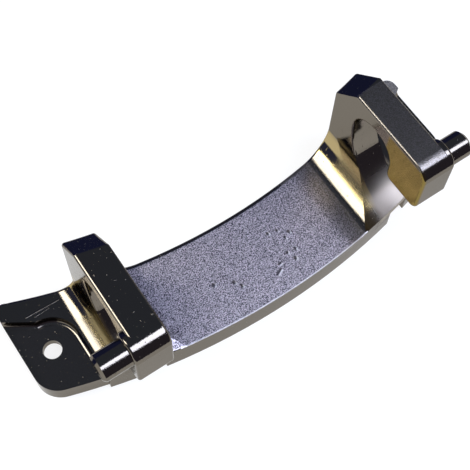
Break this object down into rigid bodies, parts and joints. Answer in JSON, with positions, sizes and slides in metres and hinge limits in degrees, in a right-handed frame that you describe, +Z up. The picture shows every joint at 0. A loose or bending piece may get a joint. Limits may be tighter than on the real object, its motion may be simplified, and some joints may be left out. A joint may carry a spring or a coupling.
{
  "type": "washing machine door hinge",
  "caption": "Cast metal door hinge: a curved band with two screw lugs and two gooseneck arms that end in outward hinge pins.",
  "frame": {"origin": "midway between the two screw holes, on the seat plane of the rim", "axes": "+X along the hinge axis, +Z up from the seat plane to the arms, -Y towards the hinge pins and the convex edge"},
  "size_m": [0.146, 0.0482, 0.0486],
  "materials": {
    "plated_casting": "polished, with a grained face on the band"
  },
  "bodies": {
    "root": {"hinge_casting": "plated_casting"}
  },
  "joints": []
}
